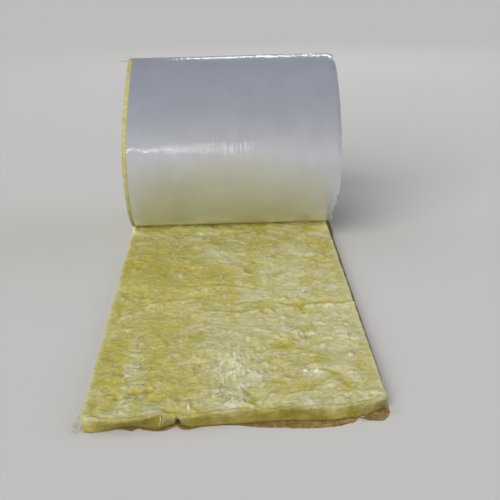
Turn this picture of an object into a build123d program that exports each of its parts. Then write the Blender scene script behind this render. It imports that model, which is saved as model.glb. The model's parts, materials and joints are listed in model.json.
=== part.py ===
from build123d import *
import os
from math import acos, degrees, floor, sqrt

# Insulation roll: a glass wool blanket with a glued foil facing, lying on its side and part unrolled.
# Millimetres, +Z up. X runs along the roll, and +Y runs from the laid stretch's front end to the roll.
# Both pieces are drawn with the roll's lowest line on the X axis, and are then set down with the middle
# of the whole footprint at the origin.

# Blanket
blanket_width = 1200.0
wool_thickness = 60.0
facing_thickness = 1.0
side_tab = 40.0
wool_past_facing = 25.0
wool_edge_bevel = 12.0

# Roll
roll_height = 1068.0
turn_pitch = 50.0
bore_radius = 50.0
smallest_turn_wall = 8.0
turn_groove_width = 4.0
turn_groove_depth = 25.0

# Laid stretch, from the crease under the roll's front to the cut end
laid_length = 2215.0
left_drift = 22.0
right_drift = 28.0
right_corner_setback = 92.0
facing_tuck = 45.0

# Waves of the wool's cut end: share of the half width from the middle, and reach past the end line
wool_end_waves = [
    (-0.88, 16.0),
    (-0.72, -2.0),
    (-0.52, 5.0),
    (-0.22, 9.0),
    (0.10, -7.0),
    (0.48, 4.0),
    (0.72, -15.0),
    (0.88, -42.0),
]
slit_across = -0.41
slit_width = 16.0
slit_depth = 26.0

# Waves of the facing's cut end, with a notch and a rounded flap at its right corner
facing_end_waves = [
    (-0.72, 2.0),
    (-0.53, 11.0),
    (-0.34, 8.0),
    (0.08, 23.0),
    (0.36, 34.0),
    (0.56, 40.0),
    (0.75, 24.0),
]
notch_across = 0.84
notch_reach = -9.0
flap_length = 100.0

# The spiral is made of half turns about two centres, so that each half is a true cylinder
back_centre = roll_height / 2
front_centre = back_centre + turn_pitch / 2
back_radius = roll_height / 2
front_radius = back_radius - turn_pitch / 2
turn_room = front_radius - turn_pitch / 2 - bore_radius - smallest_turn_wall
inner_turn_count = floor(turn_room / turn_pitch)

wool_top = facing_thickness + wool_thickness
crease_drop = front_centre - wool_top
crease_y = -sqrt(front_radius**2 - crease_drop**2)
crease_turn = 180 - degrees(acos(crease_drop / front_radius))
tuck_turn = degrees(facing_tuck / front_radius)
end_y = crease_y - laid_length

half_width = blanket_width / 2
facing_left = wool_past_facing - half_width
facing_right = half_width + side_tab


def across_roll(x):
    """The plane across the roll at x, with Y to the right and Z up."""
    return Plane.YZ.offset(x)


def half_turn(centre, radius, start_angle, turn, wall):
    """One arc of a turn's wall."""
    with BuildLine() as outline:
        outer = CenterArc((0, centre), radius, start_angle, turn)
        inner = CenterArc((0, centre), radius - wall, start_angle, turn)
        Line(outer @ 0, inner @ 0)
        Line(outer @ 1, inner @ 1)
    make_face(outline.edges())


def inner_turns(wall):
    """The spiral from the crease inwards, ending at the bore."""
    half_turn(front_centre, front_radius, 90 + crease_turn, 180 - crease_turn, wall)
    for turn in range(1, inner_turn_count + 1):
        inset = turn * turn_pitch
        half_turn(back_centre, back_radius - inset, -90, 180, wall)
        half_turn(front_centre, front_radius - inset, 90, 180, wall)
    last_inset = (inner_turn_count + 1) * turn_pitch
    half_turn(back_centre, back_radius - last_inset, -90, 180, wall)


def outer_turn():
    """The facing of the outer turn: up the back, over the top and down to its tuck in the crease."""
    half_turn(back_centre, back_radius, -90, 180, facing_thickness)
    half_turn(front_centre, front_radius, 90, crease_turn + tuck_turn, facing_thickness)


def end_points(waves):
    """Points of a wavy cut end, from shares of the half width and reaches past the end line."""
    return [(share * half_width, end_y - reach) for share, reach in waves]


# The laid stretch of the wool, with its softened top edges, its wavy end and the slit torn in it
with BuildPart() as laid_wool:
    with BuildSketch(Plane.XY.offset(facing_thickness)):
        left_corner = (-half_width - left_drift, end_y)
        right_corner = (half_width - right_drift, end_y + right_corner_setback)
        with BuildLine():
            Spline(left_corner, *end_points(wool_end_waves), right_corner)
            Polyline(
                left_corner,
                (-half_width, crease_y),
                (-half_width, 0),
                (half_width, 0),
                (half_width, crease_y),
                right_corner,
            )
        make_face()
    extrude(amount=wool_thickness)
    top_edges = laid_wool.faces().sort_by(Axis.Z)[-1].edges()
    chamfer(top_edges.sort_by(Axis.Y)[:3], length=wool_edge_bevel)

    with BuildSketch(Plane.XY.offset(facing_thickness)):
        slit_x = slit_across * half_width
        with BuildLine():
            Polyline(
                (slit_x - slit_width, end_y - slit_depth),
                (slit_x, end_y + slit_depth),
                (slit_x + slit_width, end_y - slit_depth),
                close=True,
            )
        make_face()
    extrude(amount=wool_thickness, mode=Mode.SUBTRACT)

# The wound turns of the wool as one body, soft at the left rim, where the wool stands past its facing
with BuildPart() as wound_wool:
    with BuildSketch(across_roll(-half_width)):
        with BuildLine():
            back = CenterArc((0, back_centre), back_radius - facing_thickness, -90, 180)
            front = CenterArc((0, front_centre), front_radius - facing_thickness, 90, 180)
            Line(front @ 1, back @ 0)
        make_face()
    extrude(amount=blanket_width)
    rims = wound_wool.edges().filter_by(GeomType.CIRCLE).group_by(Axis.X)
    chamfer(rims[0], length=wool_edge_bevel)

# The whole blanket, with its bore, the slot where the facing is tucked in under the roll's front, and
# the spiral line between the turns cut into the left end
with BuildPart() as wool_blanket:
    add(laid_wool.part)
    add(wound_wool.part)

    with BuildSketch(across_roll(-half_width)):
        with Locations((0, back_centre)):
            Circle(bore_radius)
    extrude(amount=blanket_width, mode=Mode.SUBTRACT)

    with BuildSketch(across_roll(facing_left)):
        outer_turn()
    extrude(amount=facing_right - facing_left, mode=Mode.SUBTRACT)

    with BuildSketch(across_roll(-half_width)):
        inner_turns(turn_groove_width)
    extrude(amount=turn_groove_depth, mode=Mode.SUBTRACT)

# The facing: the laid sheet with its notch and flap, the skin of the outer turn, and the side tab of
# every inner turn standing out of the roll's right end
with BuildPart() as foil_facing:
    with BuildSketch():
        left_corner = (facing_left - left_drift, end_y)
        notch_x = notch_across * half_width
        notch = (notch_x, end_y - notch_reach)
        flap_x = facing_right - right_drift
        with BuildLine():
            Spline(left_corner, *end_points(facing_end_waves), notch)
            flap = Spline(notch, (flap_x, end_y + flap_length), tangents=((1, 0.4), (0, 1)))
            Polyline(
                flap @ 1,
                (facing_right, crease_y),
                (facing_right, 0),
                (facing_left, 0),
                (facing_left, crease_y),
                left_corner,
            )
        make_face()
    extrude(amount=facing_thickness)

    with BuildSketch(across_roll(facing_left)):
        outer_turn()
    extrude(amount=facing_right - facing_left)

    with BuildSketch(across_roll(half_width)):
        inner_turns(facing_thickness)
    extrude(amount=side_tab)

# Set both pieces down with the middle of the footprint at the origin
footprint = wool_blanket.part.bounding_box().add(foil_facing.part.bounding_box())
middle = footprint.center()
set_down = Vector(-middle.X, -middle.Y, -footprint.min.Z)
wool_blanket.part = wool_blanket.part.translate(set_down)
foil_facing.part = foil_facing.part.translate(set_down)

os.makedirs("parts", exist_ok=True)
wool_blanket.part.label = "wool_blanket"
export_step(wool_blanket.part, "parts/wool_blanket.step")
foil_facing.part.label = "foil_facing"
export_step(foil_facing.part, "parts/foil_facing.step")

print("roll axis", set_down + Vector(0, 0, back_centre), "inner turns", inner_turn_count)
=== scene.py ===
import json
import math
import random

import bmesh
import bpy
import numpy as np
from bpy.props import FloatProperty, FloatVectorProperty, IntProperty, PointerProperty
from mathutils import Matrix, Vector, noise
from mathutils.bvhtree import BVHTree


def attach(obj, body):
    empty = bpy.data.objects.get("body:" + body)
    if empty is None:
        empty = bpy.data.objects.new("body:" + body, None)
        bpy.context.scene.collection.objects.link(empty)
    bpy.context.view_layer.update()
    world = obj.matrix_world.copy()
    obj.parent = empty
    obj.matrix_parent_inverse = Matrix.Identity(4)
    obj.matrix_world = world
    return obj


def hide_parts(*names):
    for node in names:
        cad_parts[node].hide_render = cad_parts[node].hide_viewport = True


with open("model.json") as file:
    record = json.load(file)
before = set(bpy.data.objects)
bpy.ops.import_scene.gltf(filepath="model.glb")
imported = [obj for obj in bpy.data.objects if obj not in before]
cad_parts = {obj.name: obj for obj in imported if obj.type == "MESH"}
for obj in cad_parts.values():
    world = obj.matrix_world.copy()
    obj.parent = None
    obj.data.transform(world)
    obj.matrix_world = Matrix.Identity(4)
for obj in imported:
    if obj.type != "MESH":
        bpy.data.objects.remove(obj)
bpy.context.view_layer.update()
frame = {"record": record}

bl_info = {
    "name": "Insulation Roll",
    "version": (1, 0, 0),
    "blender": (4, 5, 0),
    "location": "View3D > Sidebar > Insulation",
    "description": "Part-unrolled glass wool blanket with a foil and kraft facing",
    "category": "Add Mesh",
}

BORE = next(mount for mount in frame["record"]["mounts"] if mount["name"] == "bore")
ROLL_AXIS = Vector(BORE["pos_m"])


def in_metres(rows):
    """The rows of a table that is written in millimetres."""
    return [tuple(value / 1000 for value in row) for row in rows]


# The wool's cut end, on its top edge: x from the blanket's middle, reach past the end line
WOOL_END_TOP = in_metres([
    (-626, -22), (-600, 2), (-579, 16), (-533, 22), (-465, 27), (-398, 25), (-353, 11), (-316, -1),
    (-270, 6), (-247, 22), (-202, 18), (-126, 9), (-35, -2), (148, -7), (287, -4), (333, -8),
    (428, -23), (494, -41), (550, -52), (580, -66),
])

# The same on its bottom edge
WOOL_END_BOTTOM = in_metres([
    (-626, -10), (-600, 10), (-583, 20), (-538, 16), (-494, 5), (-450, -9), (-408, -6), (-365, 4),
    (-326, 14), (-289, -1), (-259, -13), (-205, 2), (-36, -1), (195, -10), (295, -2), (381, -6),
    (478, -32), (530, -57), (560, -75), (580, -100),
])

# The same for the facing, with its slivers, its tear and the flap at the right corner
FACING_END = in_metres([
    (-600, -15), (-500, -4), (-446, 6), (-428, 14), (-403, -3), (-375, 10), (-326, 21), (-285, 12),
    (-256, -8), (-240, 12), (-216, 20), (-165, 3), (-40, -2), (54, 20), (100, 26), (157, 33),
    (213, 39), (289, 41), (347, 37), (374, 31), (402, 18), (423, 14), (433, 5), (445, -16),
    (460, -18), (470, -1), (491, 3), (524, 7), (542, 5), (563, -14), (583, -36), (592, -56),
])

# Hollows torn in the wool's top: x, y, radius, depth
HOLLOWS = in_metres([
    (110, 140, 30, 10), (70, -10, 34, 8), (210, 210, 22, 6), (500, 110, 24, 6), (310, -480, 30, 12),
    (310, -780, 22, 12), (200, -850, 60, 6), (-100, -990, 24, 8), (-40, -1060, 24, 8),
    (-530, -1230, 20, 15), (-500, -1260, 20, 16), (-440, -1230, 26, 14), (-520, -860, 14, 6),
    (-420, -1170, 20, 6), (-200, -1140, 18, 6), (-240, 70, 45, 7), (-240, -120, 34, 8),
    (-400, 110, 30, 7), (-460, 110, 30, 5), (-490, -280, 45, 6), (-550, -500, 35, 6),
    (230, -560, 18, 8), (450, -290, 22, 10), (500, -1100, 24, 6), (-170, -1020, 22, 6),
    (120, -500, 34, 8), (10, -1340, 28, 8), (60, -1400, 22, 8), (-340, -1280, 34, 10),
    (140, -1180, 30, 5), (-380, -1220, 22, 12), (-500, -1090, 18, 10),
])

# Loose pale tufts lying on it: x, y, radius, height
TUFTS = in_metres([
    (260, -750, 40, 12), (280, -830, 22, 12), (210, -580, 36, 8), (210, -720, 40, 6),
    (310, -1130, 50, 10), (260, -1110, 30, 6), (470, -1180, 35, 7), (470, -990, 30, 6),
    (470, -800, 30, 8), (330, -760, 25, 8), (490, -240, 40, 10), (330, -300, 45, 6),
    (520, -1300, 45, 6), (-440, -800, 24, 4), (-450, -1060, 30, 5), (-100, -1240, 30, 8),
    (-10, -1210, 40, 6), (-290, -50, 35, 5), (-360, 210, 30, 4), (50, -1130, 45, 5),
    (-360, -1370, 60, 6), (-50, -1360, 60, 7), (260, -1370, 70, 6), (580, 420, 30, 4),
    (535, -1355, 40, 4), (360, -880, 30, 7), (200, -660, 30, 8), (-60, -1260, 30, 6),
    (-470, -1300, 34, 7), (-410, -1260, 20, 7), (-480, -1190, 20, 7),
])

# Spots rich in binder: x, y, radius
OCHRE_SPOTS = in_metres([
    (-240, 70, 55), (-160, -110, 50), (-90, 10, 45), (-550, -500, 40), (-330, -320, 60),
    (-540, 70, 50), (-480, 70, 40), (-20, -340, 50), (520, 370, 55), (370, -140, 50),
    (450, -150, 40), (310, -980, 45), (420, -1240, 35), (250, -1230, 35), (500, -1100, 40),
    (-360, -1100, 40), (-340, -1280, 45), (100, -100, 40), (460, -410, 60), (300, -480, 30),
])

# Wide areas, in metres, greyish pale (above 0) or clear yellow (below 0): x, y, x radius, y radius, strength
AREAS = [
    (-0.05, -0.95, 0.26, 0.50, 0.60), (0.05, -0.60, 0.50, 0.30, 0.35),
    (0.33, -1.00, 0.28, 0.50, 0.30), (0.15, -0.33, 0.30, 0.10, 0.40),
    (-0.06, 0.26, 0.22, 0.24, 0.35), (-0.22, 0.56, 0.16, 0.14, 0.35),
    (0.45, -0.75, 0.18, 0.28, 0.30), (-0.44, -0.95, 0.10, 0.45, 0.20),
    (-0.20, -1.34, 0.55, 0.10, 0.30), (0.35, -1.36, 0.30, 0.06, 0.20),
    (0.35, 0.05, 0.35, 0.50, 0.30), (-0.05, -1.15, 0.22, 0.30, 0.30),
    (0.50, -0.55, 0.20, 0.40, 0.30), (-0.42, 0.10, 0.26, 0.50, -1.10),
    (-0.15, -0.02, 0.22, 0.22, -0.60), (-0.36, -0.75, 0.12, 0.45, -0.40),
    (0.25, 0.45, 0.35, 0.30, -0.20), (0.12, 0.66, 0.16, 0.10, -0.45),
    (0.20, -0.88, 0.10, 0.10, -0.40), (-0.54, -1.00, 0.06, 0.50, -0.45),
    (0.42, -1.22, 0.16, 0.14, -0.20),
]

# Folds and steps across the wool's top, from left to right: strength, then points in millimetres
FOLDS = [
    (0.9, [(-600, -580), (-550, -520), (-480, -460), (-430, -380)]),
    (0.9, [(-430, -380), (-300, -340), (-180, -310)]),
    (0.8, [(-210, -180), (-130, -180), (-60, -180), (0, -190), (90, -230)]),
    (0.8, [(-140, -470), (-50, -490), (20, -510), (70, -480), (120, -460)]),
    (0.8, [(-80, 130), (0, 120), (40, 100), (70, 0)]),
    (1.3, [(220, -430), (310, -460), (380, -430), (510, -440), (570, -420)]),
    (0.8, [(310, -1100), (350, -1110), (380, -1150), (400, -1210)]),
    (1.0, [(10, -1260), (40, -1340), (70, -1410)]),
    (0.7, [(-390, -1375), (-320, -1360), (-265, -1400)]),
]

# Thick pale curls of fibre lying on the wool: points in millimetres along each
CURLS = [
    [(-462, -994), (-456, -1021), (-445, -1031), (-433, -1019), (-431, -997)],
    [(-490, -1070), (-481, -1096), (-470, -1104), (-460, -1098)],
    [(-154, -1078), (-127, -1068), (-100, -1087), (-82, -1134), (-79, -1192)],
    [(-90, -1200), (-97, -1280), (-124, -1285), (-150, -1270)],
    [(-220, -1299), (-221, -1336), (-218, -1377)],
    [(-41, 501), (6, 492), (46, 451), (80, 406)],
    [(262, -762), (268, -800), (276, -836)],
    [(-60, -1241), (-52, -1262), (-45, -1281)],
]

# Where the wool's left side stands further in: share of a turn from the lowest line, metres
WOOL_LEFT = [
    (0.0, 0.0), (0.35, 0.012), (0.50, 0.026), (0.57, 0.028), (0.62, 0.023), (0.66, 0.016),
    (0.70, 0.006), (0.77, -0.002), (1.0, 0.0),
]

# The same for the left side of the facing
FACING_LEFT = [
    (0.0, 0.0), (0.5, 0.010), (0.64, 0.008), (0.73, 0.001), (0.79, -0.003), (0.92, -0.007),
    (1.0, -0.007),
]


def size_prop(name, description, default):
    """A length that a user may change."""
    return FloatProperty(name=name, description=description, default=default, unit="LENGTH")


def colour_prop(name, description, default):
    """A colour that a user may change."""
    return FloatVectorProperty(name=name, description=description, default=default, subtype="COLOR", size=3)


class InsulationSizes(bpy.types.PropertyGroup):
    """Sizes of the blanket and its roll"""

    blanket_width: size_prop("Blanket width", "Width of the wool", BORE["dims"]["length_mm"] / 1000)
    wool_thickness: size_prop("Wool thickness", "Height of the laid wool", 0.060)
    facing_thickness: size_prop("Facing thickness", "Thickness of the facing", 0.001)
    side_tab: size_prop("Side tab", "Facing past the wool on the right", 0.040)
    wool_past_facing: size_prop("Bare wool rim", "Wool past the facing on the left", 0.025)
    turn_pitch: size_prop("Turn pitch", "Distance from one turn to the next", 0.050)
    bore_radius: size_prop(
        "Bore radius", "Radius of the hollow in the roll's middle", BORE["dims"]["r_mm"] / 1000,
    )
    laid_length: size_prop("Laid length", "Laid stretch, from the crease to the cut end", 2.215)
    left_drift: size_prop("Left drift", "How far the left side wanders out", 0.022)
    right_drift: size_prop("Right drift", "How far the right side wanders in", 0.028)
    inner_turns: IntProperty(
        name="Inner turns", description="Whole turns inside the outer one", default=8, min=1,
    )


class InsulationLook(bpy.types.PropertyGroup):
    """Colours of the wool and its facing"""

    wool_yellow: colour_prop("Wool yellow", "The wool's own colour", (0.452, 0.416, 0.109))
    wool_deep: colour_prop("Deep yellow", "Where the pale skin is torn off", (0.385, 0.340, 0.042))
    wool_pale: colour_prop("Pale fibre", "Whitish loose fibre", (0.538, 0.518, 0.300))
    wool_white: colour_prop("White fibre", "The whitest loose fibre", (0.735, 0.724, 0.560))
    wool_ochre: colour_prop("Binder ochre", "Spots with more binder", (0.480, 0.375, 0.078))
    # The cut face's colour: partly the wool's deeper inside colour, partly painted shade that keeps the
    # front face dark under the front light
    wool_core_and_shade: colour_prop("Wool core", "Inside of the wool, at the cut end", (0.212, 0.172, 0.030))
    foil: colour_prop("Foil", "The foil's colour", (0.778, 0.799, 0.872))
    kraft: colour_prop("Kraft", "The paper side's colour", (0.218, 0.148, 0.056))


def settings(context):
    """The sizes and the colours that are set in the panel."""
    return context.scene.insulation_sizes, context.scene.insulation_look


class Blanket:
    """Places on the blanket, worked out from its sizes."""

    def __init__(self, sizes):
        self.sizes = sizes
        self.half = sizes.blanket_width / 2
        self.x = ROLL_AXIS.x
        self.y = ROLL_AXIS.y
        self.back_z = ROLL_AXIS.z
        self.front_z = ROLL_AXIS.z + sizes.turn_pitch / 2
        self.back_radius = ROLL_AXIS.z
        self.front_radius = ROLL_AXIS.z - sizes.turn_pitch / 2
        self.top = sizes.facing_thickness + sizes.wool_thickness
        drop = self.front_z - self.top
        self.crease_y = self.y - math.sqrt(self.front_radius**2 - drop**2)
        self.crease_angle = math.acos(drop / self.front_radius)
        self.end_y = self.crease_y - sizes.laid_length
        self.left = self.x - self.half
        self.right = self.x + self.half
        self.last_turn = sizes.inner_turns + 1.5

    def half_radius(self, half):
        """Radius of the outer surface in that half turn, counted from the roll's lowest line."""
        radius = self.back_radius if half % 2 == 0 else self.front_radius
        return radius - half // 2 * self.sizes.turn_pitch

    def half_steps(self, half, least):
        """How many steps that half turn is divided into."""
        return max(int(math.pi * self.half_radius(half) / STATION_SPACING), least)

    def half_middle(self, half):
        """Height of that half turn's middle."""
        return self.back_z if half % 2 == 0 else self.front_z

    def around(self, turns, middle, radius):
        """(y, z) at that share of a turn from the lowest line of a circle."""
        angle = (turns % 1) * math.tau
        return self.y + radius * math.sin(angle), middle - radius * math.cos(angle)

    def turn(self, turns, inset=0.0):
        """(y, z) at that many turns from the roll's lowest line, that far inside the outer surface."""
        half = math.floor(turns * 2)
        return self.around(turns, self.half_middle(half), self.half_radius(half) - inset)

    def inner_side(self, turns, gap):
        """(y, z) on the inner side of the wool of that turn: the next turn's facing, or the bore."""
        if turns + 1 <= self.last_turn:
            return self.turn(turns, self.sizes.turn_pitch - gap)
        return self.around(turns, self.back_z, self.sizes.bore_radius)

    def under_roll(self, y):
        """Height of the roll's surface above the floor at y, low in the nip in front of its middle."""
        reach = min(abs(y - self.y), self.front_radius)
        return self.front_z - math.sqrt(self.front_radius**2 - reach**2)

    def drift(self, y):
        """0 at the crease and 1 at the cut end."""
        return min(max((self.crease_y - y) / self.sizes.laid_length, 0.0), 1.0)

    def left_x(self, y):
        return self.left - self.sizes.left_drift * self.drift(y)

    def right_x(self, y):
        return self.right - self.sizes.right_drift * self.drift(y)


def smooth_curve(points, value):
    """The height at value of a smooth curve through points, which are sorted by their first number."""
    value = min(max(value, points[0][0]), points[-1][0])
    index = max(i for i, point in enumerate(points[:-1]) if point[0] <= value)
    before = points[max(index - 1, 0)]
    start = points[index]
    end = points[index + 1]
    after = points[min(index + 2, len(points) - 1)]
    span = end[0] - start[0]
    share = (value - start[0]) / span
    slope_in = (end[1] - before[1]) / (end[0] - before[0]) * span
    slope_out = (after[1] - start[1]) / (after[0] - start[0]) * span
    square, cube = share**2, share**3
    return (
        (2 * cube - 3 * square + 1) * start[1]
        + (cube - 2 * square + share) * slope_in
        + (3 * square - 2 * cube) * end[1]
        + (cube - square) * slope_out
    )


def plain(values):
    """An array as it is, a single number as Python's own kind, which a Vector can be multiplied by."""
    return values if np.ndim(values) else float(values)


def blend_in(value, start, end):
    """0 at start, 1 at end, smooth between. Takes numbers and arrays."""
    share = np.clip((value - start) / (end - start), 0.0, 1.0)
    return plain(share * share * (3 - 2 * share))


def rough(place, size, octaves=3, seed=0.0):
    """Fractal noise, about -1 to 1, with features of that size."""
    return noise.fractal(place / size + Vector((seed, -seed, 2 * seed)), 0.8, 2.1, octaves)


def waves(place, kinds):
    """The sum of several noises at a place, each given by its height, size, octaves and seed."""
    return sum(height * rough(place, *kind) for height, *kind in kinds)


def rough_field(xs, ys, size, octaves=3, seed=0.0, along=(1.0, 1.0)):
    """The same noise for whole arrays of places on the floor plan."""
    places = zip((xs * along[0]).flat, (ys * along[1]).flat)
    values = [rough(Vector((x, y, 0.0)), size, octaves, seed) for x, y in places]
    return np.array(values).reshape(xs.shape)


def line_distance(xs, ys, points):
    """Distance of each place from a line through points, above 0 on its right hand."""
    nearest = np.full(xs.shape, 9.0)
    for (ax, ay), (bx, by) in zip(points, points[1:]):
        length = (bx - ax) ** 2 + (by - ay) ** 2
        share = np.clip(((xs - ax) * (bx - ax) + (ys - ay) * (by - ay)) / length, 0, 1)
        away = np.hypot(xs - ax - share * (bx - ax), ys - ay - share * (by - ay))
        side = np.where((by - ay) * (xs - ax) - (bx - ax) * (ys - ay) > 0, 1.0, -1.0)
        nearest = np.where(away < np.abs(nearest), away * side, nearest)
    return nearest


def dome(share):
    """1 where share is 0, falling smoothly to 0 where it reaches 1."""
    return plain(np.clip(1 - share**2, 0, 1) ** 2)


def soft_size(values):
    """The size of each value, rounded near 0 so that it leaves no sharp valley."""
    return np.sqrt(values**2 + 0.012) - 0.11


def clear_selection():
    if bpy.context.object and bpy.context.object.mode != "OBJECT":
        bpy.ops.object.mode_set(mode="OBJECT")
    bpy.ops.object.select_all(action="DESELECT")


def add_object(name, data):
    """A new object in the scene, at the origin."""
    obj = bpy.data.objects.new(name, data)
    bpy.context.scene.collection.objects.link(obj)
    return obj


def smooth_object(name, verts, faces, material):
    """A smooth mesh object from points and faces."""
    mesh = bpy.data.meshes.new(name)
    mesh.from_pydata(verts, [], faces)
    mesh.update()
    mesh.materials.append(material)
    mesh.polygons.foreach_set("use_smooth", [True] * len(mesh.polygons))
    return add_object(name, mesh)


def point_values(obj, **columns):
    """Stores numbers, or triples of them, for each point of the mesh."""
    for name, values in columns.items():
        values = np.asarray(values, dtype=np.float32)
        kind, field = ("FLOAT_VECTOR", "vector") if values.ndim == 2 else ("FLOAT", "value")
        attribute = obj.data.attributes.new(name, kind, "POINT")
        attribute.data.foreach_set(field, values.ravel())


def join_piece(obj, node):
    """A finished piece rides on the frame and stands for its node, which it hides."""
    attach(obj, "root")
    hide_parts(node)


# Materials


class Nodes:
    """Short calls that add nodes to a tree and link them."""

    def __init__(self, tree):
        self.tree = tree

    def add(self, kind, inputs=(), **settings):
        node = self.tree.nodes.new("ShaderNode" + kind)
        for key, value in settings.items():
            setattr(node, key, value)
        self.put(node, inputs)
        return node

    def put(self, node, inputs):
        """Links or sets the node's inputs, given by name or place. None leaves one as it is."""
        for key, value in dict(inputs).items():
            if isinstance(value, bpy.types.NodeSocket):
                self.tree.links.new(value, node.inputs[key])
            elif value is not None:
                node.inputs[key].default_value = value

    def noise(self, vector, scale, detail=3.0, roughness=0.5, distortion=0.0):
        inputs = dict(Vector=vector, Scale=scale, Detail=detail, Roughness=roughness, Distortion=distortion)
        return self.add("TexNoise", inputs).outputs["Fac"]

    def stretch(self, vector, scale, turn=(0.0, 0.0, 0.0)):
        """The vector scaled and turned, for a pattern that runs along one direction."""
        inputs = dict(Vector=vector, Rotation=turn, Scale=scale)
        return self.add("Mapping", inputs, vector_type="POINT").outputs["Vector"]

    def span(self, value, low, high, new_low=0.0, new_high=1.0):
        """The value carried smoothly from one span to another, and held at its ends."""
        inputs = {"Value": value, "From Min": low, "From Max": high, "To Min": new_low, "To Max": new_high}
        return self.add("MapRange", inputs, interpolation_type="SMOOTHSTEP").outputs["Result"]

    def math(self, operation, first, second=None):
        return self.add("Math", {0: first, 1: second}, operation=operation).outputs["Value"]

    def times(self, first, second):
        return self.math("MULTIPLY", first, second)

    def off_middle(self, pattern):
        """How far a pattern is above or below its middle."""
        return self.math("SUBTRACT", pattern, 0.5)

    def mix(self, factor, first, second, blend="MIX"):
        inputs = {0: factor, 6: first, 7: second}
        return self.add("Mix", inputs, data_type="RGBA", blend_type=blend).outputs[2]

    def tint(self, colour, by):
        return self.mix(1.0, colour, by, "MULTIPLY")

    def bump(self, height, strength, distance, normal=None):
        inputs = dict(Height=height, Strength=strength, Distance=distance, Normal=normal)
        return self.add("Bump", inputs).outputs["Normal"]

    def split(self, vector):
        """The outputs X, Y and Z of a vector."""
        return self.add("SeparateXYZ", {0: vector}).outputs

    def attribute(self, name, output="Fac"):
        return self.add("Attribute", attribute_name=name).outputs[output]


def rgba(colour, share=1.0):
    return (*(part * share for part in colour), 1.0)


def fibre_group():
    """Matted glass fibre: thin threads lying in three directions, and small tufts between them."""
    tree = bpy.data.node_groups.new("Matted fibre", "ShaderNodeTree")
    tree.interface.new_socket("Vector", in_out="INPUT", socket_type="NodeSocketVector")
    for label in ("Threads", "Curls", "Tufts", "Height"):
        tree.interface.new_socket(label, in_out="OUTPUT", socket_type="NodeSocketFloat")
    n = Nodes(tree)
    place = tree.nodes.new("NodeGroupInput").outputs["Vector"]
    outside = tree.nodes.new("NodeGroupOutput")
    threads = None
    for turn, scale in ((0.3, 230.0), (1.35, 290.0), (2.4, 340.0)):
        along = n.stretch(place, (0.14, 1.0, 1.0), (0.0, 0.0, turn))
        layer = n.span(n.noise(along, scale, 2.0, 0.55, 0.6), 0.56, 0.72)
        threads = layer if threads is None else n.math("MAXIMUM", threads, layer)
    tufts = n.noise(place, 60.0, 5.0, 0.65, 0.4)
    bends = n.math("ABSOLUTE", n.off_middle(n.noise(place, 24.0, 2.0, 0.5, 1.6)))
    here = n.span(n.noise(place, 17.0, 1.0, 0.5, 0.5), 0.44, 0.60)
    curls = n.times(n.span(bends, 0.006, 0.040, 1.0, 0.0), here)
    height = n.math("ADD", n.times(threads, 0.35), tufts)
    height = n.math("ADD", height, n.times(curls, 0.30))
    n.put(outside, {"Threads": threads, "Curls": curls, "Tufts": tufts, "Height": height})
    return tree


def new_material(name):
    """A material with a plain Principled shader, and its node helper."""
    material = bpy.data.materials.new(name)
    material.use_nodes = True
    return material, material.node_tree.nodes["Principled BSDF"], Nodes(material.node_tree)


def wool_material(look):
    """Yellow glass wool, with pale loose fibre, torn deeper places and binder spots; its core colour is
    partly painted shade, and painted light brightens it near the crease.
    """
    if "glass wool" in bpy.data.materials:
        return bpy.data.materials["glass wool"]
    material, shader, n = new_material("glass wool")
    place = n.attribute("flow", "Vector")
    fibre = n.add("Group", {"Vector": place}, node_tree=fibre_group())
    threads, curls, tufts, fibre_height = fibre.outputs
    mottle = n.noise(place, 26.0, 2.0, 0.5, 0.9)
    clouds = n.noise(place, 10.0, 3.0, 0.5, 0.9)
    grain = n.noise(place, 95.0, 3.0, 0.6, 0.3)
    layers = n.noise(n.stretch(place, (0.10, 0.10, 1.0)), 330.0, 3.0, 0.6)

    uneven = n.math("ADD", n.times(n.off_middle(clouds), 1.9), n.times(n.off_middle(mottle), 1.1))
    deep = n.span(n.math("SUBTRACT", n.attribute("deep"), uneven), 0.05, 0.95)
    pale = n.span(n.math("ADD", n.attribute("pale"), uneven), 0.10, 0.95)
    ochre = n.math("ADD", n.attribute("ochre"), n.times(uneven, 0.8))
    ochre = n.span(ochre, 0.25, 0.9, 0.0, 0.75)
    colour = n.mix(deep, rgba(look.wool_yellow), rgba(look.wool_deep))
    colour = n.mix(ochre, colour, rgba(look.wool_ochre))
    colour = n.mix(pale, colour, rgba(look.wool_pale))
    colour = n.mix(n.times(threads, 0.22), colour, rgba(look.wool_pale, 1.12))
    colour = n.mix(n.times(curls, 0.50), colour, rgba(look.wool_pale, 1.16))
    colour = n.mix(n.span(n.attribute("pale"), 0.95, 1.5, 0.0, 0.9), colour, rgba(look.wool_white))
    # The core colour is partly painted shade: on the cut face, on the bare rim and along the front-left edge
    colour = n.mix(n.attribute("core_and_shade"), colour, rgba(look.wool_core_and_shade))
    # Painted light: brighter colour where the wool lies in the roll's shade near the crease
    colour = n.mix(n.attribute("painted_crease_light"), colour, n.tint(colour, (1.6, 1.58, 1.35, 1.0)))
    shade = n.mix(n.span(tufts, 0.30, 0.68), (0.84, 0.83, 0.79, 1.0), (1.06, 1.06, 1.06, 1.0))
    colour = n.tint(colour, shade)
    colour = n.tint(colour, n.mix(grain, (0.92, 0.92, 0.90, 1.0), (1.08, 1.08, 1.08, 1.0)))
    lines = n.mix(n.span(layers, 0.35, 0.65), (0.86, 0.85, 0.80, 1.0), (1.05, 1.05, 1.05, 1.0))
    colour = n.mix(n.times(n.attribute("cut"), 0.8), colour, n.tint(colour, lines))
    height = n.math("ADD", fibre_height, n.times(n.attribute("cut"), layers))
    n.put(shader, {"Base Color": colour, "Roughness": 0.95, "Normal": n.bump(height, 0.7, 0.004)})
    n.put(shader, {"Specular IOR Level": 0.1, "Sheen Weight": 0.05, "Sheen Roughness": 0.5})
    return material


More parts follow.
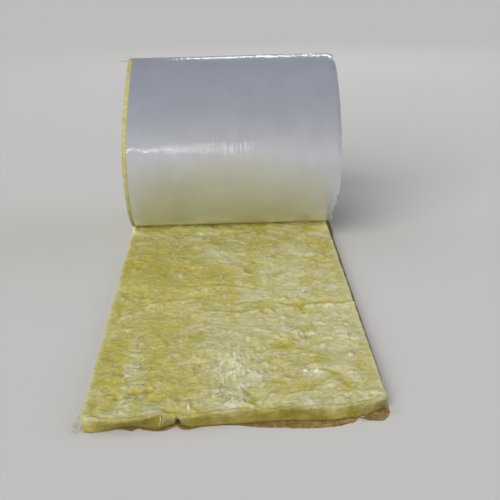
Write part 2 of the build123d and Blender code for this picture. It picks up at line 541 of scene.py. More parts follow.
def foil_material(look):
    """Satin foil with faint streaks round the roll and shallow dents."""
    if "satin foil" in bpy.data.materials:
        return bpy.data.materials["satin foil"]
    material, shader, n = new_material("satin foil")
    place = n.add("TexCoord").outputs["Object"]
    ripples = n.noise(n.stretch(place, (1.0, 0.14, 0.14)), 75.0, 3.0, 0.55, 0.2)
    streaks = n.noise(n.stretch(place, (1.0, 0.06, 0.06)), 260.0, 2.0, 0.6)
    dents = n.noise(place, 7.0, 3.0, 0.5, 0.3)
    colour = n.mix(n.span(dents, 0.3, 0.7), rgba(look.foil, 0.96), rgba(look.foil, 1.01))
    across = n.split(place)["X"]
    worked = n.times(n.span(across, -0.44, -0.28, 0.0, 0.80), n.span(across, 0.04, 0.30, 1.0, 0.0))
    patches = n.span(n.noise(place, 3.4, 2.0, 0.5, 0.4), 0.44, 0.66, 0.0, 0.35)
    patches = n.math("MAXIMUM", patches, worked)
    soft = n.bump(dents, 0.08, 0.02)
    soft = n.bump(n.times(ripples, patches), 0.24, 0.010, soft)
    soft = n.bump(streaks, 0.02, 0.002, soft)
    n.put(shader, {"Base Color": colour, "Metallic": 0.86, "Normal": soft, "Coat Normal": soft})
    n.put(shader, {"Roughness": n.span(streaks, 0.3, 0.7, 0.53, 0.60)})
    n.put(shader, {"Coat Weight": 0.8, "Coat IOR": 1.7, "Coat Roughness": 0.09})
    return material


def kraft_material(look):
    """Brown kraft paper, a little mottled and creased, with painted shade along its creases."""
    if "kraft paper" in bpy.data.materials:
        return bpy.data.materials["kraft paper"]
    material, shader, n = new_material("kraft paper")
    place = n.add("TexCoord").outputs["Object"]
    mottle = n.noise(place, 90.0, 4.0, 0.6)
    stains = n.noise(place, 26.0, 3.0, 0.6, 0.8)
    folds = n.math("ABSOLUTE", n.off_middle(n.noise(place, 34.0, 2.0, 0.5, 1.2)))
    folds = n.span(folds, 0.0, 0.05, 1.0, 0.0)
    colour = n.mix(n.span(mottle, 0.3, 0.7), rgba(look.kraft, 0.80), rgba(look.kraft, 1.05))
    colour = n.mix(n.span(stains, 0.42, 0.70), colour, rgba(look.kraft, 1.75))
    # Painted shade: darker colour along the creases
    colour = n.mix(n.times(folds, 0.35), colour, rgba(look.kraft, 0.55))
    creases = n.bump(n.math("SUBTRACT", mottle, folds), 0.5, 0.003)
    n.put(shader, {"Base Color": colour, "Roughness": 0.75, "Normal": creases})
    return material


# The laid stretch of wool

EDGE_ROUND = 0.012
CORNER_RADIUS = 0.034
SLIT_X = -0.247
SLIT_WIDTH = 0.020
SLIT_DEPTH = 0.026
LAID_COLUMNS = 200
LAID_ROWS = 384
WALL_RINGS = 8
WALL_HOLLOW = 0.004
WALL_LAYERS = ((0.0025, 0.014, 3, 2.2),)
WALL_GRAIN = ((0.0014, 0.012, 2, 5.0),)
ROLL_CLEARANCE = 0.0006
FLOOR_CLEARANCE = 0.0012

# Heights of what makes the wool's top uneven
SWELL_HEIGHT = 0.0040
MOUND_HEIGHT = 0.0060
LUMP_HEIGHT = 0.0050
LUMP_CROWN = 0.0040
TUFT_HEIGHT = 0.0020
GRAIN_HEIGHT = 0.0014
CROSS_RIDGE_HEIGHT = 0.0010
COMBED_HEIGHT = 0.0030
LIP_HEIGHT = 0.0015
FOLD_CREST = 0.0045
FOLD_TROUGH = 0.0050
FOLD_SAG = 0.0025

# Where the fibre is combed into streaks: x, y, x radius, y radius
STREAKS = (-0.03, -1.02, 0.30, 0.42)

# Their patterns: size, octaves, seed, and how much each is drawn out in x and y
UNEVENNESS = {
    "swells": (0.30, 2, 1.3),
    "mounds": (0.150, 2, 5.2),
    "lumps": (0.070, 3, 4.1),
    "tufts": (0.020, 2, 9.2),
    "grain": (0.009, 2, 7.7),
    "across": (0.016, 2, 3.4, (0.14, 1.0)),
    "along": (0.011, 2, 6.6, (1.0, 0.16)),
}


def surface_fields(xs, ys, to_edge):
    """Height over the mean and the colour masks of the wool's top, at places that far from its sides."""
    patterns = [rough_field(xs, ys, *kind) for kind in UNEVENNESS.values()]
    swells, mounds, lumps, tufts, grain, across, along = patterns
    ragged = 1 + 0.45 * lumps + 0.35 * tufts

    def spot(x, y, radius, edge=ragged):
        return dome(np.hypot(xs - x, ys - y) / radius * edge)

    calm = blend_in(to_edge, 0.012, 0.050)
    upper = blend_in(ys, -0.55, -0.15)
    x, y, wide, long = STREAKS
    streaky = dome(np.hypot((xs - x) / wide, (ys - y) / long))
    height = SWELL_HEIGHT * swells
    uneven = MOUND_HEIGHT * mounds + LUMP_HEIGHT * lumps + TUFT_HEIGHT * tufts + GRAIN_HEIGHT * grain
    ridges = CROSS_RIDGE_HEIGHT * across * (0.35 + 0.65 * upper)
    height += calm * uneven
    height += calm * (LUMP_CROWN * soft_size(lumps) + ridges - 0.002)
    height += calm * COMBED_HEIGHT * along * streaky

    pale = 0.28 + 0.22 * lumps + 0.15 * mounds + 0.06 * tufts + 0.45 * streaky * along
    pale += 0.18 * blend_in(xs, 0.0, 0.5)
    deep = np.zeros(xs.shape)
    ochre = np.zeros(xs.shape)
    for x, y, wide, long, strength in AREAS:
        inside = dome(np.hypot((xs - x) / wide, (ys - y) / long) * (1 + 0.35 * lumps))
        pale += inside * strength
        deep += inside * max(-strength, 0.0) * 0.8
    for x, y, radius, depth in HOLLOWS:
        inside = spot(x, y, radius)
        height -= inside * depth
        deep += inside * min(depth * 90, 1.0)
        pale -= inside * 0.6
    for x, y, radius, rise in TUFTS:
        inside = spot(x, y, radius)
        height += inside * rise * (0.7 + 0.6 * np.abs(tufts))
        pale += inside * 0.75
        deep -= inside * 0.3
    for x, y, radius in OCHRE_SPOTS:
        inside = spot(x, y, 1.5 * radius, 1 + 0.5 * lumps + 0.4 * tufts)
        ochre += inside * 0.85
        pale -= inside * 0.35
    for strength, points in FOLDS:
        near = line_distance(xs + 0.022 * lumps, ys + 0.016 * lumps + 0.006 * tufts, in_metres(points))
        part = strength * np.clip(0.75 + 0.7 * lumps + 0.5 * tufts, 0.1, 1.5)
        step = FOLD_CREST * dome((near - 0.026) / 0.040) - FOLD_TROUGH * dome((near + 0.006) / 0.024)
        height += part * step
        height -= part * FOLD_SAG * dome((near + 0.030) / 0.045)
        # Each fold's trough gets deeper yellow, partly exposed deeper wool and partly painted shade; its
        # crest gets paler as a painted highlight
        deep += part * 0.7 * dome((near + 0.008) / 0.026)
        pale += part * (0.30 * dome((near - 0.024) / 0.034) - 0.40 * dome((near + 0.008) / 0.026))
    # Painted highlight: paler wool along the left and right edges. Painted light: paler wool towards the
    # roll, where it lies in the roll's shade
    pale += 0.35 * (1 - blend_in(to_edge, 0.0, 0.007)) + 0.15 * blend_in(ys, 0.38, 0.62)
    deep += 0.30 * (blend_in(to_edge, 0.004, 0.012) - blend_in(to_edge, 0.030, 0.060))
    return height, pale, deep, ochre


def build_laid_wool(sizes, look):
    blanket = Blanket(sizes)
    length = blanket.y - blanket.end_y - EDGE_ROUND
    share = np.linspace(0, 1, LAID_ROWS + 1)
    distance = (length * (0.82 * share + 0.18 * share**2))[:, None]
    line = blanket.end_y + EDGE_ROUND + distance
    radius = CORNER_RADIUS - EDGE_ROUND
    short = np.clip(radius - distance, 0, None)
    pull = radius - np.sqrt(radius**2 - short**2)
    left = np.array([[blanket.left_x(y)] for y in line[:, 0]]) + EDGE_ROUND + pull
    right = np.array([[blanket.right_x(y)] for y in line[:, 0]]) - EDGE_ROUND - pull
    xs = left + (right - left) * np.linspace(0, 1, LAID_COLUMNS + 1)[None, :]
    front_x = xs[0] - blanket.x
    reach_top = np.array([smooth_curve(WOOL_END_TOP, x) for x in front_x])
    slit = np.clip(1 - np.abs(front_x - SLIT_X) / (SLIT_WIDTH / 2), 0, 1)
    fade = (1 - distance / length) ** 4
    cut_in = 0.5 * SLIT_DEPTH * slit[None, :] * np.clip(1 - distance / 0.03, 0, 1)
    ys = line - reach_top[None, :] * fade + cut_in
    to_edge = np.minimum(xs - left, right - xs)

    height, pale, deep, ochre = surface_fields(xs, ys, to_edge)
    lip_noise = rough_field(xs, np.zeros(xs.shape), 0.11, 2, 2.5)
    lip = blend_in(distance, 0.040, 0.0) * blend_in(lip_noise, -0.15, 0.60)
    height += LIP_HEIGHT * lip
    pale += 0.20 * lip
    zs = blanket.top + height
    limit = np.array([[blanket.under_roll(y) - ROLL_CLEARANCE for y in row] for row in ys])
    zs = np.minimum(zs, np.where(ys > blanket.crease_y - 0.12, limit, 1.0))

    verts = [Vector(place) for place in zip(xs.flat, ys.flat, zs.flat)]
    pale, deep, ochre = (list(values.flat) for values in (pale, deep, ochre))
    # Painted light: the wool that lies in the roll's shade, just in front of the crease, is made brighter
    near_roll = blend_in(ys, blanket.crease_y - 0.26, blanket.crease_y - 0.02)
    painted_crease_light = list((near_roll * blend_in(ys, blanket.crease_y + 0.03, blanket.crease_y)).flat)
    cut = [0.0] * len(verts)
    # Painted shade: the core colour darkens the rounded front edge towards the left corner
    painted_edge_shade = blend_in(distance, 0.014, 0.0) * blend_in(xs - blanket.x, -0.60, -0.52)
    painted_edge_shade *= 0.45 + 0.30 * rough_field(xs, np.zeros(xs.shape), 0.05, 2, 4.5)
    core_and_shade = list(painted_edge_shade.flat)
    grid = np.arange(len(verts)).reshape(xs.shape)
    corners = [grid[:-1, :-1], grid[:-1, 1:], grid[1:, 1:], grid[1:, :-1]]
    faces = np.stack(corners, -1).reshape(-1, 4).tolist()
    rim = [*grid[0, :], *grid[1:, -1], *grid[-1, -2::-1], *grid[-2:0:-1, 0]]
    count = len(rim)
    outward = []
    for i in range(count):
        along = verts[rim[(i + 3) % count]] - verts[rim[i - 3]]
        if verts[rim[i]].y > blanket.y - 0.03:
            at_right = LAID_COLUMNS <= i <= LAID_COLUMNS + LAID_ROWS
            at_left = i >= 2 * LAID_COLUMNS + LAID_ROWS or i == 0
            outward.append(Vector((at_right - at_left, 0, 0)))
        else:
            outward.append(Vector((along.y, -along.x, 0)).normalized())

    wall = blanket.top - EDGE_ROUND
    steps = [(math.sin(a), EDGE_ROUND * (1 - math.cos(a))) for a in (0.35, 0.7, 1.05, 1.4)]
    for part in range(WALL_RINGS + 1):
        down = EDGE_ROUND + (wall - 0.002) * part / WALL_RINGS
        steps.append((1.0 - 0.45 * (part / WALL_RINGS) ** 6, down))
    last = rim
    for out, down in steps:
        ring = []
        lower = blend_in(down / blanket.top, 0.15, 0.95)
        for i, start in enumerate(verts[index] for index in rim):
            at_front = blend_in(-outward[i].y, 0.3, 0.9)
            place = Vector((start.x, start.y, 0)) + outward[i] * EDGE_ROUND * out
            z = start.z - down * start.z / blanket.top
            spot = Vector((place.x, place.y, z))
            layers = waves(Vector((place.x * 0.2, place.y * 0.2, z * 1.4)), WALL_LAYERS)
            lumps = (0.0022 + 0.0023 * at_front) * rough(spot, 0.060, 3, 6.0) + waves(spot, WALL_GRAIN)
            hollow = -WALL_HOLLOW * math.sin(math.pi * min(down / blanket.top, 1))
            place += outward[i] * (layers + lumps + hollow) * out
            x = start.x - blanket.x
            reach = smooth_curve(WOOL_END_BOTTOM, x) - smooth_curve(WOOL_END_TOP, x)
            place.y -= reach * lower * at_front
            notch = max(1 - abs(x - SLIT_X) / (SLIT_WIDTH / 2), 0) * SLIT_DEPTH
            place.y += notch * at_front * (0.3 + 0.7 * lower)
            ring.append(len(verts))
            verts.append(Vector((place.x, min(place.y, blanket.y), max(z, FLOOR_CLEARANCE))))
            depth = down / blanket.top + 0.10 * rough(spot, 0.05, 3, 4.4)
            corner = blend_in(x, -0.50, -0.585)
            pale.append(pale[rim[i]] * (1 - 0.85 * lower) + 0.06 * corner * at_front)
            # The painted light near the crease fades out down the wall
            painted_crease_light.append(painted_crease_light[rim[i]] * (1 - lower) ** 2)
            deep.append(deep[rim[i]] * (1 - lower) + (0.25 + 0.30 * at_front) * lower)
            low = blend_in(depth, 0.5, 1.0)
            ochre.append(0.6 * at_front * low * (0.6 + rough(spot, 0.09, 2, 8.1)))
            cut.append(blend_in(down / blanket.top, 0.05, 0.3))
            # The cut face takes the core colour, darker further down; it is partly painted shade
            inside = 0.45 + 0.55 * blend_in(depth, -0.05, 0.16)
            inside *= 0.85 + 0.45 * rough(spot, 0.10, 2, 1.9)
            core_and_shade.append(min(max(at_front * inside * (1 - 0.35 * corner), 0.0), 1.0))
        for i in range(count):
            j = (i + 1) % count
            faces.append((last[j], last[i], ring[i], ring[j]))
        last = ring
    faces.append(tuple(reversed(last)))

    wool = smooth_object("wool_laid", verts, faces, wool_material(look))
    masks = {"pale": pale, "deep": deep, "ochre": ochre, "cut": cut, "core_and_shade": core_and_shade, "painted_crease_light": painted_crease_light}
    point_values(wool, flow=np.array(verts), **masks)
    return wool


# The wound turns of wool

GROOVE_DEPTH = 0.022
THICKNESS_STEPS = 10
WOOL_GAP = 0.0008
STATION_SPACING = 0.0095
SIDE_WAVES = ((0.0045, 0.07, 2, 3.3), (0.0030, 0.020, 2, 8.8))
LENGTHWISE_WAVES = ((0.0020, 0.11, 2, 5.0),)
SIDE_GRAIN = ((0.0015, 0.03, 2, 1.1),)


def belly(share):
    """How far a turn's side swells at that share of its thickness: 0 at both ends, 1 in the middle."""
    return (1 - abs(2 * share - 1) ** 3) ** (1 / 3)


def build_wound_wool(sizes, look):
    blanket = Blanket(sizes)
    stations = []
    for half in range(int(blanket.last_turn * 2)):
        count = blanket.half_steps(half, 10)
        stations += [half / 2 + 0.5 * i / count for i in range(count)]
    stations.append(blanket.last_turn - 1e-6)

    angles = [math.pi * i / THICKNESS_STEPS for i in range(THICKNESS_STEPS + 1)]
    across = [0.5 - 0.5 * math.cos(angle) for angle in angles]
    verts, faces, flow = [], [], []
    pale, deep, ochre, core_and_shade = [], [], [], []
    last = None
    length = 0.0
    before = None
    bare = sizes.wool_past_facing
    for turns in stations:
        outer = Vector((0, *blanket.turn(turns, sizes.facing_thickness + WOOL_GAP)))
        inner = Vector((0, *blanket.inner_side(turns, WOOL_GAP)))
        out = (outer - inner).normalized()
        length += (outer - before).length if before else 0.0
        before = outer
        rim = blend_in(1.0 - turns, 0.0, 0.02) * blend_in(turns, 0.0, 0.06)
        shift = smooth_curve(WOOL_LEFT, turns % 1) * max(1 - 0.16 * int(turns), 0.0)
        ring = []

        def add(x, share, swell=0.0, fluff=1.0, cut=1.0):
            place = outer.lerp(inner, share) + out * swell
            place.x = x
            at_left = x < blanket.x
            side = -1 if at_left else 1
            bare_rim = rim * at_left * (1 - share)
            wave = waves(place, SIDE_WAVES)
            wave += waves(Vector((length * 0.3, share * 2.0, side)), LENGTHWISE_WAVES)
            wave *= 1 - rim * (0.96 - 0.25 * share) * at_left
            place.x += side * fluff * wave + shift * at_left
            if 0 < share < 1:
                place += out * waves(place, SIDE_GRAIN)
            ring.append(len(verts))
            verts.append(place)
            tone = rough(place, 0.12, 3, 5.5) * (1 - 0.7 * bare_rim)
            hollow = 1 - belly(share)
            # On the bare rim at the left, the added pale is a painted highlight
            pale.append(0.30 + 0.35 * tone - 0.3 * hollow * cut + 0.45 * bare_rim * (1 - share))
            # Deeper yellow, and less pale, in the grooves between turns
            side_deep = 0.25 - 0.25 * tone + 0.5 * hollow * cut
            deep.append(side_deep * (1 - 0.8 * bare_rim))
            ochre.append(max(rough(place, 0.16, 2, 7.5) - 0.35, 0.0) * 1.2)
            # Painted shade: the core colour tones the bare rim down
            core_and_shade.append(0.28 * bare_rim)
            flow.append((x, length, 0.05 * share))

        add(blanket.left + bare + 0.004, 0, 0.0, 0, 0)
        add(blanket.left + bare - 0.003, 0, 0.004 * rim, 0, 0)
        add(blanket.left + bare * 0.5, 0, 0.005 * rim, 0.3, 0)
        for share in across:
            depth = GROOVE_DEPTH * (1 - 0.75 * rim * (1 - share))
            add(blanket.left + depth * (1 - belly(share)), share, 0.003 * rim * (1 - share) ** 2)
        add(blanket.left + bare + 0.004, 1, 0.0, 0, 0)
        add(blanket.right - bare - 0.004, 1, 0.0, 0, 0)
        for share in reversed(across):
            add(blanket.right - GROOVE_DEPTH * (1 - belly(share)), share)
        add(blanket.right - bare - 0.004, 0, 0.0, 0, 0)
        loop = len(ring)
        if last:
            faces += [(last[i], ring[i], ring[(i + 1) % loop], last[(i + 1) % loop]) for i in range(loop)]
        else:
            faces.append(tuple(ring))
        last = ring
    faces.append(tuple(reversed(last)))
    wool = smooth_object("wool_wound", verts, faces, wool_material(look))
    none = [0.0] * len(verts)
    masks = {"pale": pale, "deep": deep, "ochre": ochre, "core_and_shade": core_and_shade, "painted_crease_light": none}
    point_values(wool, flow=flow, cut=[1.0] * len(verts), **masks)
    outside_normals(wool)
    return wool


def outside_normals(obj):
    """Turns all faces of a closed mesh outwards."""
    bm = bmesh.new()
    bm.from_mesh(obj.data)
    bmesh.ops.recalc_face_normals(bm, faces=bm.faces)
    bm.to_mesh(obj.data)
    bm.free()


# The facing

SHEET_PART = 0.8
TAB_START = 0.004
FLAP_RADIUS = 0.030
SHEET_COLUMNS = 112
LAID_SHEET_ROWS = 84
BACK_STEPS = 118
FRONT_STEPS = 116
CREASE_STEPS = 8
PAST_CREASE = 0.05
TAB_COLUMNS = 8
TAB_UNDER_WOOL = 0.020
TAB_LEAN = 0.010
TAB_CURVE = 1.6
TAB_DRAWS_BACK = 0.008
TAB_FOLD_DEPTH = 0.028
TAB_FOLD_DRAWS_BACK = 0.022
TAB_FLARE_HEIGHT = 0.016
TAB_CREST_REACH = 0.016
TOP_BULGE = 0.0012
WRINKLE_HEIGHT = 0.0045
TAB_WAVES = ((0.008, 0.20, 2, 2.0), (0.003, 0.045, 2, 7.0))
TAB_CRIMP = ((0.0025, 0.035, 2, 5.0), (0.0020, 0.016, 2, 6.0))
FINE_RIPPLES = ((0.0005, 0.030, 2, 3.0),)
WIDE_RIPPLES = ((0.0008, 0.25, 2, 6.0),)
MERGE_DISTANCE = 0.00005
SMOOTH_UP_TO = math.radians(50)

# Where the outer turn's forms are, in radians from its lowest line: middle and half width, or start and end
WRINKLED_TOP = (3.02, 0.42)
TAB_CREST = (2.90, 0.42)
TAB_FLARE = (3.55, 0.42)
TAB_FOLDS_IN = (5.02, 5.42)
TAB_FOLDS_OUT = (5.95, 5.55)


def spin_rim(blanket, centre_z, angle, steps):
    """Spins the selected edges about the roll's middle: to the back, over the top and down in front."""
    bpy.ops.mesh.spin(
        steps=steps,
        angle=angle,
        center=(0.0, blanket.y, centre_z),
        axis=(-1.0, 0.0, 0.0),
        use_auto_merge=False,
    )


def select_edges(obj, test):
    """In edit mode, selects only the edges whose both ends pass the test."""
    bpy.ops.mesh.select_mode(type="EDGE")
    bpy.ops.mesh.select_all(action="DESELECT")
    bm = bmesh.from_edit_mesh(obj.data)
    for edge in bm.edges:
        if all(test(vert.co) for vert in edge.verts):
            edge.select = True
    bmesh.update_edit_mesh(obj.data)


def facing_right(blanket, y):
    """The facing's right side: it runs in a little more than the wool towards the cut end."""
    drift = blanket.drift(y)
    taper = 0.040 * drift + 0.012 * blend_in(drift, 0.85, 0.96)
    return blanket.right + blanket.sizes.side_tab - taper - 0.011 * blend_in(drift, 0.0, 0.1)


def lay_facing(blanket, sheet, left, right):
    """Gives the flat grid the drift, the cut end, the tear and the flap of the laid facing."""
    length = blanket.y - blanket.end_y
    for vert in sheet.data.vertices:
        across = (vert.co.x - left) / (right - left)
        back = (vert.co.y - blanket.end_y) / length
        across = across * 1.12 if across < 0.75 else 0.84 + (across - 0.75) * 0.64
        back = 0.16 * back + 0.84 * back**2
        y = blanket.end_y + length * back
        side = facing_right(blanket, y)
        near_left = blanket.left_x(y) + blanket.sizes.wool_past_facing
        short = max(FLAP_RADIUS - (y - blanket.end_y), 0.0)
        side -= FLAP_RADIUS - math.sqrt(FLAP_RADIUS**2 - short**2)
        x = near_left + (side - near_left) * across
        y -= smooth_curve(FACING_END, x - blanket.x) * (1 - back) ** 6
        lift = 0.003 * blend_in(across, 0.90, 1.0) * max(rough(Vector((0, y, 0)), 0.20, 2, 1.0), 0)
        front = blend_in(0.03 - (y - blanket.end_y), 0.0, 0.06)
        lift += 0.006 * front * max(rough(Vector((x, 0, 0)), 0.06, 2, 4.0), 0) * (across > 0.08)
        vert.co = Vector((x, y, lift if vert.co.y < blanket.y - 0.3 else 0.0))


def tab_lean(round_way):
    """How far a side tab's free edge leans towards the roll's middle, that far round the spiral."""
    return TAB_LEAN + waves(Vector((0, round_way, 0)), TAB_WAVES)


def near_angle(turn, middle, width):
    """1 at the middle angle, falling smoothly to 0 that far from it."""
    return dome((turn - middle) / width)


def shape_outer_turn(blanket, sheet):
    """Works ripples into the outer turn, wrinkles near its top right, and bends into its side tab."""
    wool_end = blanket.right + TAB_START
    for vert in sheet.data.vertices:
        y, z = vert.co.y - blanket.y, vert.co.z - blanket.back_z
        if vert.co.y < blanket.y and vert.co.z < 0.04:
            continue
        turn = math.atan2(y, -z) % math.tau
        toward = Vector((0, -y, -z)).normalized()
        start = blend_in(turn, 0.0, 0.3)
        round_way = turn * blanket.back_radius
        ripple = waves(Vector((vert.co.x, round_way * 0.08, 0)), FINE_RIPPLES)
        ripple += waves(Vector((vert.co.x, round_way * 0.5, 0)), WIDE_RIPPLES)
        top, half_width = WRINKLED_TOP
        near_top = dome(np.hypot((turn - top) / half_width, (vert.co.x - 0.36) / 0.60))
        crackle = 1 - abs(rough(Vector((vert.co.x, round_way * 0.8, 0)), 0.045, 2, 9.0)) * 2
        wrinkles = WRINKLE_HEIGHT * near_top * max(crackle, 0.0) ** 3
        move = toward * start * (ripple - TOP_BULGE * near_top - wrinkles)
        from_left = vert.co.x - (blanket.left + blanket.sizes.wool_past_facing)
        move.x += smooth_curve(FACING_LEFT, turn / math.tau) * blend_in(0.10 - from_left, 0.0, 0.10)
        tab = max((vert.co.x - wool_end) / (blanket.sizes.side_tab - TAB_START), 0.0)
        if tab:
            folded = blend_in(turn, *TAB_FOLDS_IN) * blend_in(turn, *TAB_FOLDS_OUT)
            flare = near_angle(turn, *TAB_FLARE) * blend_in(tab, 0.55, 1.0)
            crest = near_angle(turn, *TAB_CREST)
            lean = tab_lean(round_way) + 0.006 * near_angle(turn, TAB_FLARE[0], 0.50)
            place = Vector((vert.co.x * 0.5, round_way, 0))
            crimp = (0.0025 + 0.007 * folded) * rough(place, 0.035, 2, 5.0)
            crimp += 0.004 * folded * rough(place, 0.014, 2, 8.0)
            inwards = lean * tab**TAB_CURVE + crimp * tab + TAB_FOLD_DEPTH * folded * tab
            move += toward * start * (inwards - TAB_FLARE_HEIGHT * flare)
            back = TAB_DRAWS_BACK - TAB_CREST_REACH * crest + TAB_FOLD_DRAWS_BACK * folded
            move.x -= tab * start * (back + 0.3 * crimp)
        vert.co += move


def build_facing(sizes):
    blanket = Blanket(sizes)
    left = blanket.left + sizes.wool_past_facing
    right = blanket.right + sizes.side_tab
    laid = blanket.y - blanket.end_y
    clear_selection()
    bpy.ops.mesh.primitive_grid_add(
        x_subdivisions=SHEET_COLUMNS,
        y_subdivisions=LAID_SHEET_ROWS,
        size=1.0,
        location=((left + right) / 2, blanket.y - laid / 2, 0.0),
    )
    sheet = bpy.context.object
    sheet.name = "facing_sheet"
    sheet.scale = (right - left, laid, 1.0)
    bpy.ops.object.transform_apply(location=True, rotation=True, scale=True)
    lay_facing(blanket, sheet, left, right)
    bpy.ops.object.mode_set(mode="EDIT")
    select_edges(sheet, lambda co: co.y > blanket.y - 1e-4)
    spin_rim(blanket, blanket.back_z, math.pi, BACK_STEPS)
    spin_rim(blanket, blanket.front_z, math.pi - blanket.crease_angle + PAST_CREASE, FRONT_STEPS)
    bpy.ops.object.mode_set(mode="OBJECT")
    shape_outer_turn(blanket, sheet)
    return sheet


def finish_sheet(obj, sizes, look):
    """Gives a facing piece its thickness: foil outside, kraft on the wool's side and on the rim."""
    obj.data.materials.append(foil_material(look))
    obj.data.materials.append(kraft_material(look))
    clear_selection()
    bpy.context.view_layer.objects.active = obj
    obj.select_set(True)
    bpy.ops.object.mode_set(mode="EDIT")
    bpy.ops.mesh.select_all(action="SELECT")
    bpy.ops.mesh.remove_doubles(threshold=MERGE_DISTANCE)
    bpy.ops.mesh.normals_make_consistent(inside=False)
    bpy.ops.object.mode_set(mode="OBJECT")
    highest = max(obj.data.polygons, key=lambda face: face.center.z)
    if highest.normal.z < 0:
        bpy.ops.object.mode_set(mode="EDIT")
        bpy.ops.mesh.select_all(action="SELECT")
        bpy.ops.mesh.flip_normals()
        bpy.ops.object.mode_set(mode="OBJECT")
    wall = obj.modifiers.new("Wall", "SOLIDIFY")
    wall.thickness = sizes.facing_thickness * SHEET_PART
    wall.offset = -1.0
    wall.material_offset = 1
    wall.material_offset_rim = 1
    bpy.ops.object.modifier_apply(modifier=wall.name)
    bpy.ops.object.shade_smooth_by_angle(angle=SMOOTH_UP_TO)


def shape_tabs(blanket, tabs):
    """Leans the side tabs inwards, each turn in its own waves, and crimps their free edges."""
    wool_end = blanket.right + TAB_START
    for vert in tabs.data.vertices:
        y, z = vert.co.y - blanket.y, vert.co.z - blanket.back_z
        turn = math.atan2(y, -z) % math.tau
        passed = 0.5 + 0.5 * math.cos(turn) if turn > math.pi else 0.0
        whole = round((blanket.back_radius - math.hypot(y, z)) / blanket.sizes.turn_pitch - passed)
        round_way = (turn + whole * math.tau) * blanket.back_radius
        tab = max((vert.co.x - wool_end) / (blanket.sizes.side_tab - TAB_START), 0.0)
        lean = tab_lean(round_way)
        place = Vector((vert.co.x * 0.5, round_way, 0.0))
        crimp = waves(place, TAB_CRIMP)
        vert.co += Vector((0, -y, -z)).normalized() * (lean * tab**TAB_CURVE + crimp * tab)
        back = TAB_DRAWS_BACK + 0.004 * rough(place, 0.07, 3, 3.0) + 3.0 * max(lean, 0) ** 2
        vert.co.x -= tab * back


def build_tabs(sizes):
    blanket = Blanket(sizes)
    width = sizes.side_tab + TAB_UNDER_WOOL
    clear_selection()
    bpy.ops.mesh.primitive_grid_add(x_subdivisions=TAB_COLUMNS, y_subdivisions=1, size=1.0)
    tabs = bpy.context.object
    tabs.name = "facing_tabs"
    start = Vector((0, *blanket.turn(1 - blanket.crease_angle / math.tau)))
    bpy.ops.object.mode_set(mode="EDIT")
    bm = bmesh.from_edit_mesh(tabs.data)
    bmesh.ops.delete(bm, geom=[vert for vert in bm.verts if vert.co.y > 0], context="VERTS")
    for vert in bm.verts:
        share = vert.co.x + 0.5
        vert.co = Vector((blanket.right + sizes.side_tab - width * (1 - share), start.y, start.z))
    bmesh.update_edit_mesh(tabs.data)
    bpy.ops.mesh.select_mode(type="EDGE")
    bpy.ops.mesh.select_all(action="SELECT")
    spin_rim(blanket, blanket.front_z, blanket.crease_angle, CREASE_STEPS)
    for half in range(2, int(blanket.last_turn * 2)):
        spin_rim(blanket, blanket.half_middle(half), math.pi, blanket.half_steps(half, 12))
    bpy.ops.object.mode_set(mode="OBJECT")
    shape_tabs(blanket, tabs)
    return tabs


# Loose fibres on the wool

FIBRE_SEED = 11
SCATTERED_STRANDS = 2100
LEAST_IN_TUFT = 6
TUFT_STRANDS_A_METRE = 320
STRANDS_IN_CURL = 7
COMBED_MIDDLE = -0.02
COMBED_HALF_WIDTH = 0.16
COMBED_FROM = -1.30
COMBED_TO = -0.70
STRAND_CORNERS = (0.5, 2.6, 4.7)
ABOVE_WOOL = 0.5
FIBRE_LIFT = 0.0002
FARTHEST_LEFT = -0.676

# Where fibre hangs out: place, spread, heading, its spread, how many strands, their length
LOOSE_ENDS = [
    ((-0.645, -1.345, 0.006), (0.010, 0.030, 0.004), -1.8, 0.7, 22, 0.055),
    ((-0.640, -1.410, 0.005), (0.012, 0.012, 0.003), -2.2, 0.9, 12, 0.040),
    ((0.440, -1.392, 0.008), (0.006, 0.008, 0.004), -1.2, 0.35, 14, 0.045),
    ((-0.598, ROLL_AXIS.y + 0.01, 1.056), (0.006, 0.016, 0.003), 3.1, 0.30, 14, 0.075),
    ((0.572, -1.375, 0.030), (0.006, 0.010, 0.012), -0.6, 0.6, 14, 0.030),
]


def strand(verts, faces, points, thickness):
    """A thin closed three-sided thread along points, tapered to both ends."""
    base = len(verts)
    last = len(points) - 1
    for i, point in enumerate(points):
        along = (points[min(i + 1, last)] - points[max(i - 1, 0)]).normalized()
        side = along.cross(Vector((0, 0, 1)))
        side = side.normalized() if side.length > 1e-3 else Vector((1, 0, 0))
        up = side.cross(along)
        radius = thickness / 2 * (0.25 + 0.75 * math.sin(math.pi * (i + 0.5) / (last + 1)))
        for angle in STRAND_CORNERS:
            verts.append(point + (side * math.cos(angle) + up * math.sin(angle)) * radius)
    for i in range(last):
        for k in range(3):
            a, b = base + 3 * i + k, base + 3 * i + (k + 1) % 3
            faces.append((a, a + 3, b + 3, b))
    faces.append((base, base + 1, base + 2))
    end = base + 3 * last
    faces.append((end + 2, end + 1, end))


def curled_path(rng, start, heading, length, curl, steps):
    """A path on the floor plan that keeps turning."""
    points = [start.copy()]
    turn = rng.gauss(0, curl)
    for _ in range(steps):
        turn = 0.7 * turn + rng.gauss(0, curl * 0.6)
        heading += turn
        points.append(points[-1] + Vector((math.cos(heading), math.sin(heading), 0)) * length / steps)
    return points


